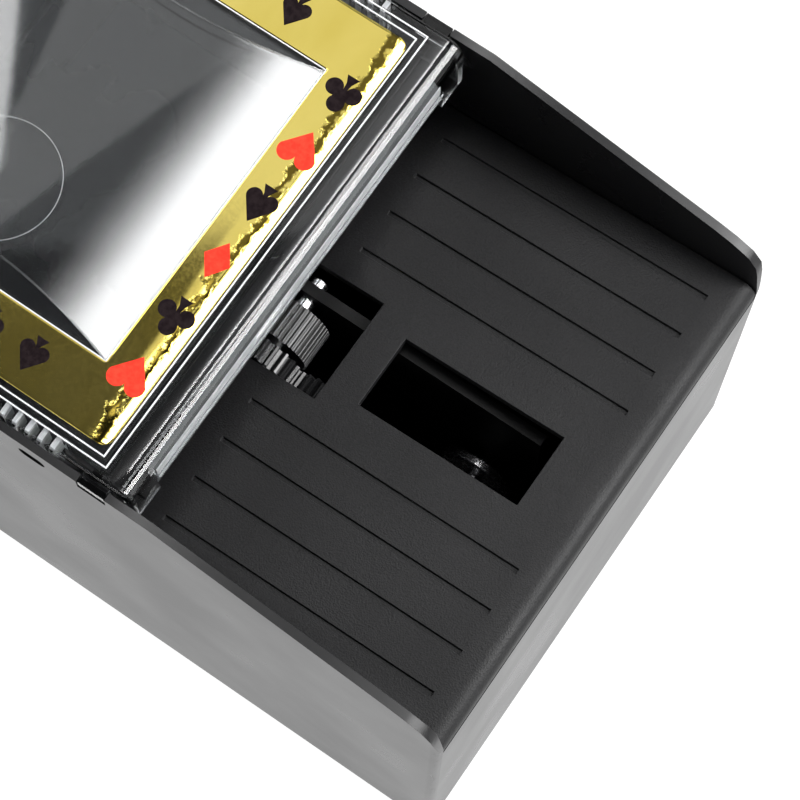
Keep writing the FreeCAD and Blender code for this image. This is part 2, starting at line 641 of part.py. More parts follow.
def idler_and_feed():
    towards_feed = IDLER_ANGLE + 180
    idler = gear("idler_teeth", "idler_x", "idler_z", "gear_face_start", "gear_face_end", "shaft_radius",
                 tooth_gap("idler_teeth", towards_feed))
    both_ends(idler, "idler_gear")
    both_ends(through_shaft("idler_x", "idler_z"), "idler_shaft")
    feed = gear("feed_teeth", "feed_x", "feed_z", "gear_face_start", "gear_face_end", "shaft_radius",
                IDLER_ANGLE)
    both_ends(feed, "feed_gear")
    both_ends(rod("y", "feed_x", "outer_plate_start - 0.5", "feed_z", "shaft_radius", 22.4), "feed_shaft")
    tyre = ring("feed_x", "feed_z", "roller_start", "roller_radius - 0.35", "shaft_radius",
                "roller_end - roller_start")
    ribs = []
    for turn in range(0, 360, 9):
        x = val("feed_x") + (val("roller_radius") - 0.35) * math.cos(math.radians(turn))
        z = val("feed_z") + (val("roller_radius") - 0.35) * math.sin(math.radians(turn))
        ribs.append(rod("y", x, "roller_start", z, 0.3, "roller_end - roller_start"))
    both_ends(join([tyre] + ribs), "feed_roller")


def pulley(x, z, radius, name):
    """A flanged pulley, its belt seat between two rims."""
    start = "pulley_start"
    seat = rod("y", x, start, z, radius, "pulley_width")
    rims = [rod("y", x, start, z, radius + " + 1", 0.6),
            rod("y", x, "pulley_start + pulley_width - 0.6", z, radius + " + 1", 0.6)]
    bore = rod("y", x, "pulley_start - 1", z, "shaft_radius", "pulley_width + 2")
    both_ends(cut(join([seat] + rims), [bore]), name)


def drive_belt():
    """A flat rubber band round both pulleys: two arcs and their common tangents."""
    first = V(val("drive_x"), 0, val("drive_z"))
    second = V(val("idler_x"), 0, val("idler_z"))
    start = val("pulley_start + pulley_width / 2 - belt_width / 2")

    def loop(extra):
        wide = val("idler_pulley_radius") + extra
        narrow = val("drive_pulley_radius") + extra
        along = second - first
        heading = math.atan2(along.z, along.x)
        lean = math.acos((narrow - wide) / along.Length)

        def on(centre, radius, angle):
            return centre + V(radius * math.cos(angle), 0, radius * math.sin(angle))
        a1, b1 = on(first, narrow, heading + lean), on(second, wide, heading + lean)
        a2, b2 = on(first, narrow, heading - lean), on(second, wide, heading - lean)
        far = on(second, wide, heading)
        near = on(first, narrow, heading + math.pi)
        edges = [Part.LineSegment(a1, b1).toShape(), Part.Arc(b1, far, b2).toShape(),
                 Part.LineSegment(b2, a2).toShape(), Part.Arc(a2, near, a1).toShape()]
        return Part.Face(Part.Wire(edges))

    gap = val("belt_gap")
    band = loop(gap + val("belt_thickness")).cut(loop(gap)).Faces[0]
    belt = solid(band.extrude(V(0, val("belt_width"), 0)))
    belt.Placement = FreeCAD.Placement(V(0, start, 0), FreeCAD.Rotation())
    both_ends(belt, "drive_belt")


def gear_plates():
    """The two upright plates that carry the shafts, standing on the base."""
    top = "chamber_top"
    outline = [
        ("chamber_half + 2.2", 44), ("chamber_half + 2.2", top), ("plate_end", top), ("plate_end", "floor_top"),
        (56, "floor_top"), (50, 40),
    ]
    for start, end, name in (("inner_plate_start", "inner_plate_end", "gear_plate_inner"),
                             ("outer_plate_start", "outer_plate_end", "gear_plate_outer")):
        plate = profile(outline, "%s - %s" % (end, start), "(%s + %s) / 2" % (start, end))
        toe = block(60, 84, start if name.endswith("inner") else "outer_plate_end - 8",
                    end + " + 6" if name.endswith("inner") else end, "floor_top", "floor_top + 2")
        bores = [rod("y", x, start + " - 1", z, "shaft_radius + running_gap", 4)
                 for x, z in (("drive_x", "drive_z"), ("idler_x", "idler_z"), ("feed_x", "feed_z"))]
        if name.endswith("outer"):
            bores.append(rod("y", "motor_x", start + " - 1", "motor_z", 3.2, 4))
        both_ends(cut(join([plate, toe]), bores), name)


# ---------------------------------------------------------------- push button
def push_button():
    """The start button in the front wall, its return spring and its switch."""
    cap = rod("y", "button_x", "half_inside - 3", "button_z", "button_radius", "button_face - half_inside + 3")
    flange = rod("y", "button_x", "half_inside - 3.2", "button_z", "button_radius + 1.5", 2.4)
    stem = rod("y", "button_x", "half_inside - 9", "button_z", 1.6, 7)
    finish(join([cap, flange, stem]), "start_button")
    spring = solid(coil(2.6, 0.3, 1.15, 4))
    spring.Placement = FreeCAD.Placement(V(val("button_x"), val("half_inside") - 8.5, val("button_z")),
                                         FreeCAD.Rotation(V(1, 0, 0), -90))
    finish(spring, "button_spring")
    body = block("button_x - 6", "button_x + 6", "half_inside - 17", "half_inside - 9.2",
                 "button_z - 6", "button_z + 6")
    well = rod("y", "button_x", "half_inside - 12", "button_z", 2.0, 4)
    finish(cut(body, [well]), "push_switch")
    post = block("button_x - 7.6", "button_x + 7.6", "half_inside - 17", "half_inside - 9.2", "floor_top",
                 "button_z - 6")
    finish(post, "switch_bracket")


# ---------------------------------------------------------------- wiring
def wire(points):
    """Insulated wire through points, each run parallel to an axis."""
    runs = []
    for start, end in zip(points, points[1:]):
        axis = [i for i in range(3) if start[i] != end[i]][0]
        first, last = sorted([start, end], key=lambda point: point[axis])
        runs.append(rod("xyz"[axis], *first, "wire_radius", last[axis] - first[axis]))
    for x, y, z in points[1:-1]:
        corner = doc.addObject("Part::Sphere", "corner")
        corner.setExpression("Radius", bind("wire_radius"))
        runs.append(place(corner, x, y, z))
    return join(runs)


def wiring():
    """A pair of wires from the battery bay to each motor, and a pair to the switch."""
    bay_side = val("bay_half_y + bay_wall")
    cap_back = val("outer_plate_start - motor_length - 2")
    runs = []
    for step in (0, 1):
        height = val("wire_height") + 2.4 * step
        motor_side = cap_back - 1.8
        x = val("motor_x") + 5.2 - 3.6 * step
        points = [(22, -bay_side, height), (22, motor_side, height), (x, motor_side, height),
                  (x, motor_side, val("motor_z")), (x, cap_back, val("motor_z"))]
        run = wire(points)
        runs += [run, turned(run)]
        switch_x = val("button_x") - 9.4 - 2.4 * step
        switch_back = val("half_inside") - 14 - 1.5 * step
        points = [(20, bay_side, height), (20, -motor_side, height), (switch_x, -motor_side, height),
                  (switch_x, -motor_side, 40), (switch_x, switch_back, 40), (val("button_x") - 6, switch_back, 40)]
        runs.append(wire(points))
    finish(group(runs), "wiring")


# ---------------------------------------------------------------- fasteners
def screw(x, y, under, length):
    head = cone(x, y, under, 2.7, "screw_radius", 1.3)
    return join([head, rod("z", x, y, under, "screw_radius", length)])


def screws():
    finish(group([screw(x, y, "floor_bottom + 0.1", 9) for x, y in corners_of("screw_x", "screw_y")]),
           "housing_screws")
    heads = []
    for x in (66, 80):
        for y in (10.6, -16):
            heads.append(rod("z", x, y, "floor_top + 2", 2.4, 1.4))
            heads.append(rod("z", -x, -y, "floor_top + 2", 2.4, 1.4))
    finish(group(heads), "plate_screws")


upper_housing()
card_tray()
card_gate()
cover()
label()
drawer()
base_plate()
rubber_feet()
battery_door()
battery_cells()
battery_contacts()
battery_springs()
drive_gear()
spacer_disc()
motor()
idler_and_feed()
pulley("drive_x", "drive_z", "drive_pulley_radius", "drive_pulley")
pulley("idler_x", "idler_z", "idler_pulley_radius", "idler_pulley")
drive_belt()
gear_plates()
push_button()
wiring()
screws()
doc.recompute()

failed = [o.Label for o in doc.Objects if {"Invalid", "Error"} & set(o.State)]
if failed:
    raise SystemExit("failed objects: %s" % failed)
for name, piece in made.items():
    if piece.Shape.isNull() or not piece.Shape.isValid():
        raise SystemExit("bad shape: " + name)
os.makedirs("parts", exist_ok=True)
for name, piece in made.items():
    piece.Shape.exportStep("parts/%s.step" % name)
print(len(made), "nodes")
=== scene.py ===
"""The looks of a two-deck card shuffler: softened moulded edges, clear lid, gold card-suit label."""
import json
import math

import bmesh
import bpy
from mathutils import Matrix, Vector

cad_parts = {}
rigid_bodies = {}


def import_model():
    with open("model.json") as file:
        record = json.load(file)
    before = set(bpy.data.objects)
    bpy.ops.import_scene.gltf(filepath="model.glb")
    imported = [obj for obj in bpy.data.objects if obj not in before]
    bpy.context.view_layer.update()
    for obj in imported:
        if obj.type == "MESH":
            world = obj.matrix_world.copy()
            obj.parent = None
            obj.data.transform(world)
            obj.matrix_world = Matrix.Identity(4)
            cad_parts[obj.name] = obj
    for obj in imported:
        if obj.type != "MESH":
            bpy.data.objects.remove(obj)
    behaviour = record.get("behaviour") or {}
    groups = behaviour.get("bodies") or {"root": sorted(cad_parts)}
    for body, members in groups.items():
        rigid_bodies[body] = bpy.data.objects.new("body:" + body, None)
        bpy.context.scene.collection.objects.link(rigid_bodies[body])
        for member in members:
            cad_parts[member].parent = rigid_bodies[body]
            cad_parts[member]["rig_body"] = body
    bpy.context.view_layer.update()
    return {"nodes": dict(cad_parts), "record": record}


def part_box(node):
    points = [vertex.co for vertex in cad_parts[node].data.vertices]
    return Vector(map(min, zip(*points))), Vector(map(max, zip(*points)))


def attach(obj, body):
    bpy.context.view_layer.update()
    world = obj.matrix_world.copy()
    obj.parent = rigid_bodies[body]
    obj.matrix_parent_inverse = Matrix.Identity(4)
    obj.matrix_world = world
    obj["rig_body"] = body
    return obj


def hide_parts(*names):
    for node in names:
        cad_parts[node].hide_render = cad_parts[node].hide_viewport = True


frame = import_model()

MM = 0.001
NODES = frame["nodes"]
ENDS = ("right", "left")
FOIL_CREASE = 34.0 * MM
CREASE_RAGGED = 4.2 * MM
CREASE_WANDER = 5.0 * MM
CREASE_CORE = 0.4 * MM
CREASE_EDGE = 1.05 * MM
WINDOW_X = 27.9 * MM
WINDOW_Y = 29.4 * MM


# ---------------------------------------------------------------- materials
def new_material(name):
    """An empty node material with a Principled shader and object coordinates."""
    material = bpy.data.materials.new(name)
    material.use_nodes = True
    tree = material.node_tree
    shader = tree.nodes["Principled BSDF"]
    coords = tree.nodes.new("ShaderNodeTexCoord")
    return material, tree, shader, coords.outputs["Object"]


def noise(tree, coords, per_mm, detail=3.0, stretch=None):
    """A noise texture whose scale is in features per millimetre."""
    texture = tree.nodes.new("ShaderNodeTexNoise")
    texture.inputs["Scale"].default_value = per_mm / MM
    texture.inputs["Detail"].default_value = detail
    source = coords
    if stretch:
        mapping = tree.nodes.new("ShaderNodeMapping")
        mapping.inputs["Scale"].default_value = stretch
        tree.links.new(coords, mapping.inputs["Vector"])
        source = mapping.outputs["Vector"]
    tree.links.new(source, texture.inputs["Vector"])
    return texture.outputs["Fac"]


def spread(tree, factor, low, high, start=0.35, end=0.65):
    """Maps a factor to a range of values."""
    remap = tree.nodes.new("ShaderNodeMapRange")
    remap.inputs["From Min"].default_value = start
    remap.inputs["From Max"].default_value = end
    remap.inputs["To Min"].default_value = low
    remap.inputs["To Max"].default_value = high
    tree.links.new(factor, remap.inputs["Value"])
    return remap.outputs["Result"]


def shades(tree, factor, dark, light, start=0.35, end=0.65):
    """A colour that runs between two shades."""
    ramp = tree.nodes.new("ShaderNodeValToRGB")
    ramp.color_ramp.elements[0].position = start
    ramp.color_ramp.elements[0].color = (*dark, 1)
    ramp.color_ramp.elements[1].position = end
    ramp.color_ramp.elements[1].color = (*light, 1)
    tree.links.new(factor, ramp.inputs["Fac"])
    return ramp.outputs["Color"]


def bumps(tree, shader, heights):
    """Stacks bump nodes: each height is (factor, depth in mm, strength)."""
    normal = None
    for factor, depth, strength in heights:
        bump = tree.nodes.new("ShaderNodeBump")
        bump.inputs["Distance"].default_value = depth * MM
        bump.inputs["Strength"].default_value = strength
        tree.links.new(factor, bump.inputs["Height"])
        if normal:
            tree.links.new(normal, bump.inputs["Normal"])
        normal = bump.outputs["Normal"]
    tree.links.new(normal, shader.inputs["Normal"])


def moulded(name, dark, light, rough, grain, depth, specular=0.5, coat=0.0):
    """Moulded plastic or rubber: fine grain, faint flow marks and patchy gloss."""
    material, tree, shader, coords = new_material(name)
    fine = noise(tree, coords, grain, 2.0)
    broad = noise(tree, coords, 0.035, 4.0)
    tree.links.new(shades(tree, broad, dark, light), shader.inputs["Base Color"])
    tree.links.new(spread(tree, broad, rough[0], rough[1]), shader.inputs["Roughness"])
    shader.inputs["Specular IOR Level"].default_value = specular
    shader.inputs["Coat Weight"].default_value = coat
    shader.inputs["Coat Roughness"].default_value = 0.12
    bumps(tree, shader, [(fine, depth, 0.6)])
    return material


def metal(name, dark, light, rough, stretch):
    """Turned or drawn metal with fine tool lines."""
    material, tree, shader, coords = new_material(name)
    lines = noise(tree, coords, 1.6, 4.0, stretch)
    tree.links.new(shades(tree, lines, dark, light), shader.inputs["Base Color"])
    tree.links.new(spread(tree, lines, rough[0], rough[1]), shader.inputs["Roughness"])
    shader.inputs["Metallic"].default_value = 1.0
    bumps(tree, shader, [(lines, 0.01, 0.4)])
    return material


def tray_plastic():
    """Charcoal spark-eroded texture: a fine pebble grain with small bright specks."""
    material, tree, shader, coords = new_material("tray_plastic")
    pebble = tree.nodes.new("ShaderNodeTexVoronoi")
    pebble.inputs["Scale"].default_value = 3.4 / MM
    tree.links.new(coords, pebble.inputs["Vector"])
    fine = noise(tree, coords, 3.2, 3.0)
    broad = noise(tree, coords, 0.03, 3.0)
    speck = noise(tree, coords, 1.1, 1.0)
    tree.links.new(shades(tree, fine, (0.007, 0.007, 0.0075), (0.013, 0.013, 0.0135)),
                   shader.inputs["Base Color"])
    tree.links.new(spread(tree, broad, 0.42, 0.56), shader.inputs["Roughness"])
    shader.inputs["Specular IOR Level"].default_value = 0.2
    bumps(tree, shader, [(pebble.outputs["Distance"], 0.06, 0.6), (fine, 0.05, 0.7), (speck, 0.04, 0.25)])
    return material


def clear_plastic():
    """Clear polystyrene with a hint of flow and hairline scratches."""
    material, tree, shader, coords = new_material("clear_plastic")
    shader.inputs["Base Color"].default_value = (0.93, 0.95, 0.96, 1)
    shader.inputs["Transmission Weight"].default_value = 1.0
    shader.inputs["IOR"].default_value = 1.49
    scratch = noise(tree, coords, 0.5, 6.0, (1, 0.05, 1))
    speck = noise(tree, coords, 0.9, 2.0)
    tree.links.new(spread(tree, scratch, 0.035, 0.07, 0.55, 0.8), shader.inputs["Roughness"])
    bumps(tree, shader, [(speck, 0.01, 0.15)])
    return material


def painted_glint_plastic():
    """Painted highlight: a near-white, barely clear plastic put on the cut edges and ribs of the clear
    cover in place of the light they gather.
    """
    material, tree, shader, coords = new_material("painted_glint_plastic")
    streak = noise(tree, coords, 0.8, 4.0, (3, 0.3, 1))
    # Near-white base colour: painted highlight for the light that clear edges and ribs gather and pipe.
    tree.links.new(shades(tree, streak, (0.80, 0.82, 0.83), (0.98, 0.98, 0.99)),
                   shader.inputs["Base Color"])
    tree.links.new(spread(tree, streak, 0.1, 0.3), shader.inputs["Roughness"])
    shader.inputs["Transmission Weight"].default_value = 0.12
    shader.inputs["Specular IOR Level"].default_value = 0.8
    bumps(tree, shader, [(streak, 0.03, 0.4)])
    return material


def gold_foil():
    """Metallised foil with fine ripples and a broken creased line along its side borders, darkened there
    with painted shade.
    """
    material, tree, shader, coords = new_material("gold_foil")
    ripple = noise(tree, coords, 0.09, 3.0, (1, 0.6, 1))
    fine = noise(tree, coords, 2.0, 2.0)
    crease_and_shade = crease_and_shade_mask(tree, coords)
    gold = shades(tree, ripple, (0.80, 0.64, 0.14), (0.88, 0.72, 0.19))
    mix = tree.nodes.new("ShaderNodeMix")
    mix.data_type = "RGBA"
    # Dark olive painted shade along the creased line; the bump below shapes the fold itself.
    mix.inputs["B"].default_value = (0.15, 0.11, 0.018, 1)
    tree.links.new(crease_and_shade, mix.inputs["Factor"])
    tree.links.new(gold, mix.inputs["A"])
    tree.links.new(mix.outputs["Result"], shader.inputs["Base Color"])
    tree.links.new(spread(tree, fine, 0.07, 0.1), shader.inputs["Roughness"])
    shader.inputs["Metallic"].default_value = 1.0
    bumps(tree, shader, [(ripple, 0.12, 0.1), (crease_and_shade, 0.05, 0.5), (fine, 0.003, 0.1)])
    return material


def maths(tree, operation, first, second=None):
    """One step of arithmetic between sockets or numbers."""
    node = tree.nodes.new("ShaderNodeMath")
    node.operation = operation
    for socket, value in zip(node.inputs, (first, second)):
        if isinstance(value, (int, float)):
            socket.default_value = value
        elif value is not None:
            tree.links.new(value, socket)
    return node.outputs["Value"]


def crease_and_shade_mask(tree, coords):
    """One along a ragged line a little inside the two side edges, zero elsewhere: where the foil is creased
    and where its painted shade goes.
    """
    split = tree.nodes.new("ShaderNodeSeparateXYZ")
    tree.links.new(coords, split.inputs["Vector"])
    ragged = maths(tree, "SUBTRACT", noise(tree, coords, 0.55, 5.0), 0.5)
    wander = maths(tree, "SUBTRACT", noise(tree, coords, 0.1, 2.0), 0.5)
    ragged_shift = maths(tree, "MULTIPLY", ragged, CREASE_RAGGED)
    wander_shift = maths(tree, "MULTIPLY", wander, CREASE_WANDER)
    offset = maths(tree, "ADD", ragged_shift, wander_shift)
    across = maths(tree, "ADD", maths(tree, "ABSOLUTE", split.outputs["X"]), offset)
    away = maths(tree, "ABSOLUTE", maths(tree, "SUBTRACT", across, FOIL_CREASE))
    return spread(tree, away, 1.0, 0.0, CREASE_CORE, CREASE_EDGE)


def printed(name, colour, lift):
    """Printed ink with a slightly uneven film."""
    material, tree, shader, coords = new_material(name)
    film = noise(tree, coords, 1.2, 3.0)
    tree.links.new(shades(tree, film, colour, lift), shader.inputs["Base Color"])
    tree.links.new(spread(tree, film, 0.4, 0.55), shader.inputs["Roughness"])
    shader.inputs["Specular IOR Level"].default_value = 0.02
    bumps(tree, shader, [(film, 0.01, 0.3)])
    return material


LOOKS = {
    "housing_plastic": moulded("housing_plastic", (0.005, 0.005, 0.0055), (0.009, 0.009, 0.0095),
                               (0.26, 0.32), 2.2, 0.006, 0.28),
    "drawer_plastic": moulded("drawer_plastic", (0.007, 0.007, 0.0075), (0.011, 0.011, 0.0115),
                              (0.24, 0.32), 2.2, 0.008, 0.35),
    "frame_plastic": moulded("frame_plastic", (0.006, 0.006, 0.006), (0.011, 0.011, 0.011),
                             (0.42, 0.58), 2.4, 0.03, 0.12),
    "tray_plastic": tray_plastic(),
    "clear_plastic": clear_plastic(),
    "gold_foil": gold_foil(),
    "gear_plastic": moulded("gear_plastic", (0.008, 0.008, 0.0085), (0.016, 0.016, 0.017),
                            (0.2, 0.3), 3.0, 0.01),
    "roller_rubber": moulded("roller_rubber", (0.010, 0.010, 0.010), (0.018, 0.018, 0.018),
                             (0.3, 0.42), 5.0, 0.02),
    "belt_rubber": moulded("belt_rubber", (0.012, 0.012, 0.012), (0.022, 0.022, 0.022),
                           (0.55, 0.7), 4.0, 0.03),
    "foot_rubber": moulded("foot_rubber", (0.02, 0.02, 0.02), (0.035, 0.035, 0.035),
                           (0.6, 0.8), 3.0, 0.05),
    "switch_plastic": moulded("switch_plastic", (0.03, 0.03, 0.032), (0.05, 0.05, 0.052),
                              (0.35, 0.5), 3.0, 0.02),
    "motor_cap_plastic": moulded("motor_cap_plastic", (0.66, 0.65, 0.6), (0.78, 0.77, 0.73),
                                 (0.35, 0.5), 3.0, 0.02),
    "button_plastic": moulded("button_plastic", (0.42, 0.012, 0.012), (0.55, 0.02, 0.018),
                              (0.16, 0.26), 3.0, 0.008, 0.5, 0.3),
    "wire_pvc": moulded("wire_pvc", (0.32, 0.012, 0.01), (0.42, 0.02, 0.016), (0.3, 0.4), 2.0, 0.01),
    "cell_wrap": moulded("cell_wrap", (0.03, 0.06, 0.16), (0.05, 0.09, 0.22),
                         (0.2, 0.3), 1.0, 0.01, 0.5, 0.5),
    "shaft_steel": metal("shaft_steel", (0.55, 0.55, 0.57), (0.72, 0.72, 0.74), (0.16, 0.3), (1, 8, 1)),
    "motor_steel": metal("motor_steel", (0.5, 0.5, 0.51), (0.66, 0.66, 0.67), (0.22, 0.38), (8, 1, 1)),
    "screw_steel": metal("screw_steel", (0.12, 0.12, 0.13), (0.22, 0.22, 0.23), (0.25, 0.4), (1, 1, 8)),
    "contact_nickel": metal("contact_nickel", (0.6, 0.59, 0.56), (0.75, 0.74, 0.7), (0.18, 0.3), (1, 1, 4)),
}
PAINTED_GLINT = painted_glint_plastic()
INK_RED = printed("ink_red", (0.86, 0.035, 0.02), (0.95, 0.055, 0.03))
INK_BLACK = printed("ink_black", (0.008, 0.005, 0.006), (0.016, 0.011, 0.012))


def dress(piece, look):
    """Gives a piece one material on every face."""
    piece.data.materials.clear()
    piece.data.materials.append(look)


for entry in frame["record"]["subparts"]:
    dress(NODES[entry["node"]], LOOKS[entry["material_slot"]])


# ---------------------------------------------------------------- moulded shells
CROWN_CREASE = 4
MERGE_DISTANCE = 0.002 * MM
FLAT_ANGLE = 0.5


def mark_creases(data, angle, crown):
    """Keeps the shading of faces apart where they meet at more than an angle, finer on the crown."""
    mesh = bmesh.new()
    mesh.from_mesh(data)
    for edge in mesh.edges:
        fine = crown and all(abs(v.co.x) < WINDOW_X and abs(v.co.y) < WINDOW_Y for v in edge.verts)
        limit = CROWN_CREASE if fine else angle
        edge.smooth = edge.calc_face_angle(0.0) < math.radians(limit)
    mesh.to_mesh(data)
    mesh.free()


def softened(node, width, segments=2, angle=28, crown=False):
    """A copy of a CAD piece whose sharp edges get the small radius that a mould leaves."""
    source = NODES[node]
    mesh = bmesh.new()
    mesh.from_mesh(source.data)
    bmesh.ops.remove_doubles(mesh, verts=mesh.verts, dist=MERGE_DISTANCE)
    bmesh.ops.dissolve_limit(mesh, angle_limit=math.radians(FLAT_ANGLE), verts=mesh.verts, edges=mesh.edges)
    data = bpy.data.meshes.new(node + "_skin")
    mesh.to_mesh(data)
    mesh.free()
    data.polygons.foreach_set("use_smooth", [True] * len(data.polygons))
    mark_creases(data, angle, crown)
    piece = bpy.data.objects.new(node + "_skin", data)
    bpy.context.scene.collection.objects.link(piece)
    bevel = piece.modifiers.new("edge_radius", "BEVEL")
    bevel.width = width * MM
    bevel.segments = segments
    bevel.limit_method = "ANGLE"
    bevel.angle_limit = math.radians(angle)
    bevel.harden_normals = True
    dress(piece, source.data.materials[0])
    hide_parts(node)
    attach(piece, source["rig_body"])


softened("upper_housing", 0.35)
softened("base_plate", 0.2)
softened("battery_door", 0.2)
softened("card_drawer", 0.3)
softened("clear_cover", 0.18, crown=True)
softened("start_button", 0.5, 3)
for end in ENDS:
    softened("card_tray_" + end, 0.2)
    softened("card_gate_" + end, 0.25)
    softened("spacer_disc_" + end, 0.5, 4)


# ---------------------------------------------------------------- foil label
label_low, label_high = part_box("foil_label")
FOIL_THICKNESS = label_high.z - label_low.z
FOIL_STEP = 0.45 * MM
FOIL_CORNER = 2.0 * MM
FOIL_LIFT = 0.2 * MM
ROLL = 2.1 * MM
ROLL_FADE = 3.4 * MM
RIPPLE_DEPTH = 0.16
SHEET_SHARE = 0.8
INK_RISE = 0.035 * MM
INK_FILM = 0.05 * MM


def new_piece(name, mesh, look):
    """A mesh object in the scene, from a bmesh."""
    data = bpy.data.meshes.new(name)
    mesh.to_mesh(data)
    mesh.free()
    piece = bpy.data.objects.new(name, data)
    bpy.context.scene.collection.objects.link(piece)
    dress(piece, look)
    return piece


def foil_height(x, y):
    """The top of the foil: it lifts a little before its side edges, and ripples there."""
    inside = label_high.x - abs(x)
    if inside < ROLL:
        rise = math.sin(0.5 * math.pi * max(inside, 0.0) / ROLL)
    else:
        rise = max(0.0, 1.0 - (inside - ROLL) / ROLL_FADE) ** 2
    along = y / MM
    ripple = math.sin(along * 0.9 + 1.3 * math.sin(along * 0.37)) * math.sin(along * 0.23 + 1.0)
    return label_high.z + FOIL_LIFT * rise * (1.0 + RIPPLE_DEPTH * ripple)


def round_corner(x, y, half_x, half_y):
    """Moves a point of the square corner field onto the rounded corner."""
    u = max(0.0, (abs(x) - half_x + FOIL_CORNER) / FOIL_CORNER)
    v = max(0.0, (abs(y) - half_y + FOIL_CORNER) / FOIL_CORNER)
    if u <= 0 or v <= 0:
        return x, y
    new_u = u * math.sqrt(1 - v * v / 2)
    new_v = v * math.sqrt(1 - u * u / 2)
    return (math.copysign(half_x - FOIL_CORNER + new_u * FOIL_CORNER, x),
            math.copysign(half_y - FOIL_CORNER + new_v * FOIL_CORNER, y))


def steps(half, opening):
    """Evenly spaced places from -half to half that include the window's edges."""
    border_steps = round((half - opening) / FOIL_STEP)
    border = [opening + (half - opening) * i / border_steps for i in range(border_steps + 1)]
    count = round(2 * opening / (4 * FOIL_STEP))
    middle = [-opening + 2 * opening * i / count for i in range(1, count)]
    return [-p for p in reversed(border)] + middle + border


def foil():
    """The gold frame as a thin rippled sheet with its window left open."""
    mesh = bmesh.new()
    half_x, half_y = label_high.x, label_high.y
    columns, rows = steps(half_x, WINDOW_X), steps(half_y, WINDOW_Y)
    grid = {}
    for i, x in enumerate(columns):
        for j, y in enumerate(rows):
            if abs(x) < WINDOW_X - 1e-7 and abs(y) < WINDOW_Y - 1e-7:
                continue
            px, py = round_corner(x, y, half_x, half_y)
            grid[i, j] = mesh.verts.new((px, py, foil_height(px, py)))
    for i in range(len(columns) - 1):
        for j in range(len(rows) - 1):
            middle_x = (columns[i] + columns[i + 1]) / 2
            middle_y = (rows[j] + rows[j + 1]) / 2
            if abs(middle_x) < WINDOW_X and abs(middle_y) < WINDOW_Y:
                continue
            face = mesh.faces.new([grid[i, j], grid[i + 1, j], grid[i + 1, j + 1], grid[i, j + 1]])
            face.smooth = True
    piece = new_piece("foil_sheet", mesh, LOOKS["gold_foil"])
    sheet = piece.modifiers.new("thickness", "SOLIDIFY")
    sheet.thickness = FOIL_THICKNESS * SHEET_SHARE
    sheet.offset = -1
    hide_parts("foil_label")
    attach(piece, "cover")


foil()


def flat_piece(name, outline, look):
    """A thin printed shape that follows the foil, from a closed outline of (x, y) points in metres."""
    mesh = bmesh.new()
    face = mesh.faces.new([mesh.verts.new((x, y, 0)) for x, y in outline])
    if face.normal.z < 0:
        face.normal_flip()
    bmesh.ops.triangulate(mesh, faces=mesh.faces)
    bmesh.ops.subdivide_edges(mesh, edges=mesh.edges, cuts=3, use_grid_fill=True)
    for vert in mesh.verts:
        vert.co.z = foil_height(vert.co.x, vert.co.y) + INK_RISE
    bmesh.ops.recalc_face_normals(mesh, faces=mesh.faces)
    if sum(f.normal.z for f in mesh.faces) < 0:
        bmesh.ops.reverse_faces(mesh, faces=mesh.faces)
    piece = new_piece(name, mesh, look)
    film = piece.modifiers.new("thickness", "SOLIDIFY")
    film.thickness = INK_FILM
    film.offset = -1
    return piece


def arc(cx, cy, radius, start, end, parts):
    """Points round part of a circle, in unit coordinates; angles in degrees."""
    turns = [math.radians(start + (end - start) * i / parts) for i in range(parts + 1)]
    return [(cx + radius * math.cos(a), cy + radius * math.sin(a)) for a in turns]


def heart():
    """Two lobes over a point."""
    left = arc(-0.25, 0.2, 0.25, 200, 0, 16)
    right = arc(0.25, 0.2, 0.25, 180, -20, 16)
    return left + right + [(0.30, -0.12), (0.0, -0.5), (-0.30, -0.12)]


def diamond():
    """A tall rhombus."""
    return [(0.0, 0.5), (0.36, 0.0), (0.0, -0.5), (-0.36, 0.0)]


def stem(width, top):
    """The flared foot under a club or spade."""
    return [(0.05, top), (0.07, -0.3), (width, -0.5), (-width, -0.5), (-0.07, -0.3), (-0.05, top)]


def spade():
    """A point over two lobes, on a stem."""
    right = arc(0.22, -0.12, 0.2, 40, -140, 14)
    left = arc(-0.22, -0.12, 0.2, -40, -220, 14)
    return [(0.0, 0.5)] + right + stem(0.18, -0.2) + left


def club():
    """Three lobes on a stem."""
    top = arc(0.0, 0.27, 0.22, 215, -35, 18)
    right = arc(0.26, -0.08, 0.22, 110, -150, 18)
    left = arc(-0.26, -0.08, 0.22, -30, -290, 18)
    return top + right + stem(0.17, -0.12) + left


SUITS = {"heart": (heart, INK_RED), "diamond": (diamond, INK_RED),
         "spade": (spade, INK_BLACK), "club": (club, INK_BLACK)}


def pip(suit, x, y, size, number):
    """A suit symbol printed on the foil, upright for a player at the back."""
    shape, look = SUITS[suit]
    outline = [(x - u * size, y - v * size) for u, v in shape()]
    piece = flat_piece("pip_%s_%02d" % (suit, number), outline, look)
    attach(piece, "cover")


# The suits follow one another along both side borders.
PIP_SIZE = 6.8 * MM
PIP_PITCH = 11.3 * MM
PIP_SHIFT = -0.8 * MM
SIDE_INSET = 4.1 * MM
END_INSET = 5.7 * MM
END_PITCH = 9.0 * MM
END_SHARE = 0.9
END_PIPS = 5
side_x = label_high.x - SIDE_INSET
sequence = ("heart", "club", "diamond", "spade", "heart", "club")
for sign in (1, -1):
    for index, suit in enumerate(sequence):
        y = sign * ((index - (len(sequence) - 1) / 2) * PIP_PITCH + PIP_SHIFT)
        number = index + (0 if sign == 1 else len(sequence))
        pip(suit, sign * side_x, y, PIP_SIZE, number)
# Front and rear borders carry a plain row of black suits in place of lettering.
end_y = label_high.y - END_INSET
for sign in (1, -1):
    for index in range(END_PIPS):
        suit = ("spade", "club")[index % 2]
        number = 2 * len(sequence) + index + (0 if sign == 1 else END_PIPS)
        x = (index - END_PIPS // 2) * END_PITCH
        pip(suit, x, sign * end_y, PIP_SIZE * END_SHARE, number)
